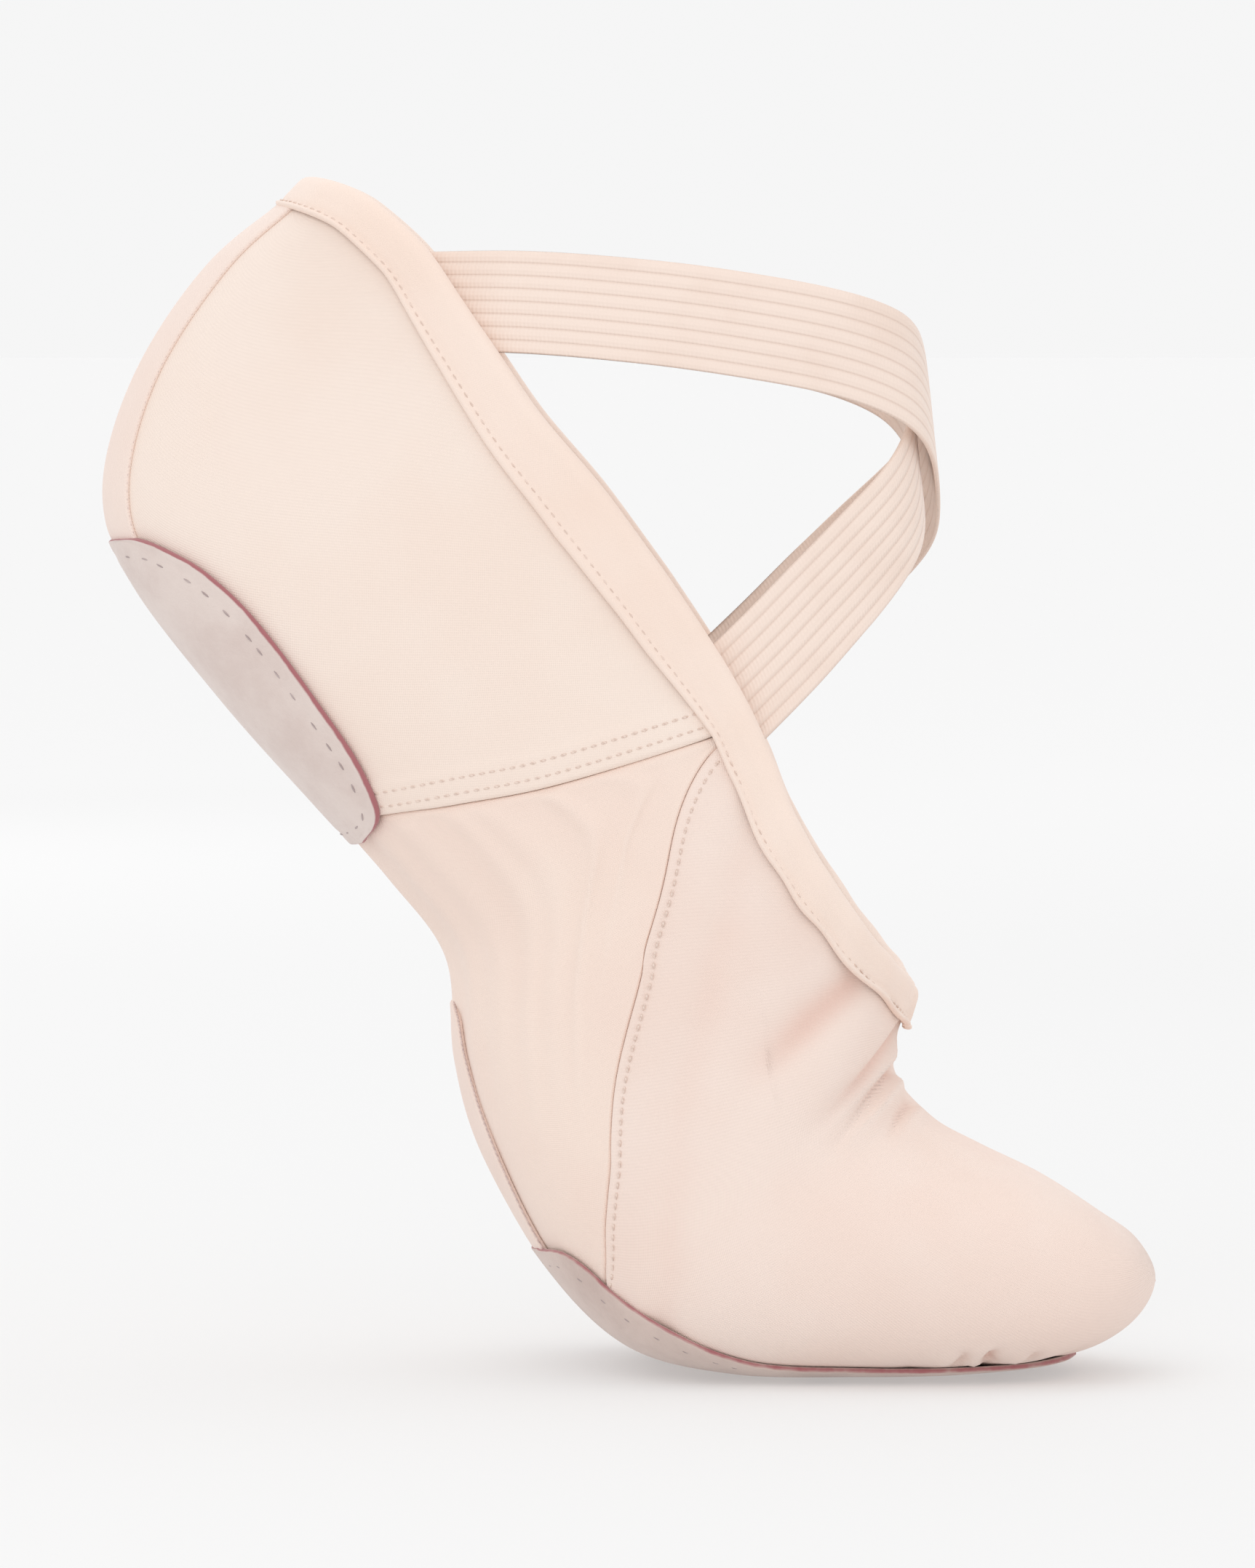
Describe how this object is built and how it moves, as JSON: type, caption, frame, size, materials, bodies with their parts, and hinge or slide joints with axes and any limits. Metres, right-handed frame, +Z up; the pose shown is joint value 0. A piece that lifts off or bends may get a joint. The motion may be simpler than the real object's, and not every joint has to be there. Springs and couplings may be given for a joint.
{
  "type": "ballet slipper",
  "caption": "Soft split-sole ballet slipper for a left foot, standing on its ball with the heel raised, with crossed elastic straps.",
  "frame": {"origin": "centre of the level tread under the ball of the foot, on the floor", "axes": "+X points to the toe, +Y to the outer side of the foot, +Z up"},
  "size_m": [0.1935, 0.0889, 0.2192],
  "materials": {
    "canvas": "matte stretch canvas",
    "stretch_insert": "matte stretch canvas",
    "binding": "folded canvas",
    "lining": "matte cotton",
    "suede": "napped suede with a mauve cut edge",
    "insole": "brushed cotton",
    "elastic": "ribbed elastic",
    "cord": "round elastic"
  },
  "bodies": {
    "forefoot": {"vamp_toe": "canvas", "vamp_lining_toe": "lining", "forefoot_suede_patch": "suede", "forefoot_insole": "insole"},
    "midfoot": {"vamp_instep": "canvas", "vamp_lining_instep": "lining", "arch_insert": "stretch_insert", "arch_strip": "canvas", "topline_binding_front": "binding", "drawcord_front": "cord"},
    "heel": {"quarter_inner": "canvas", "quarter_outer": "canvas", "quarter_lining_inner": "lining", "quarter_lining_outer": "lining", "heel_back_strip": "canvas", "heel_suede_patch": "suede", "heel_insole": "insole", "topline_binding_rear": "binding", "drawcord_rear": "cord", "strap_over_ends": "elastic", "strap_under_ends": "elastic"},
    "strap_over": {"strap_over": "elastic"},
    "strap_under": {"strap_under": "elastic"}
  },
  "joints": [
    {"name": "ball_flex", "type": "hinge", "parent": "forefoot", "child": "midfoot", "pos_m": [-0.03, 0, 0.01], "axis": [0, 1, 0], "range_deg": [-60, 0]},
    {"name": "arch_flex", "type": "hinge", "parent": "midfoot", "child": "heel", "pos_m": [-0.0145, 0, 0.1155], "axis": [0, 1, 0], "range_deg": [-12, 10], "deforming": ["arch_insert"]},
    {"name": "strap_over_swing", "type": "hinge", "parent": "heel", "child": "strap_over", "pos_m": [-0.04443, 0.00295, 0.16], "axis": [0.5258, 0.5253, -0.669], "range_deg": [-4, 4]},
    {"name": "strap_under_swing", "type": "hinge", "parent": "heel", "child": "strap_under", "pos_m": [-0.04443, -0.00295, 0.16], "axis": [0.5258, -0.5253, -0.669], "range_deg": [-4, 4]}
  ]
}
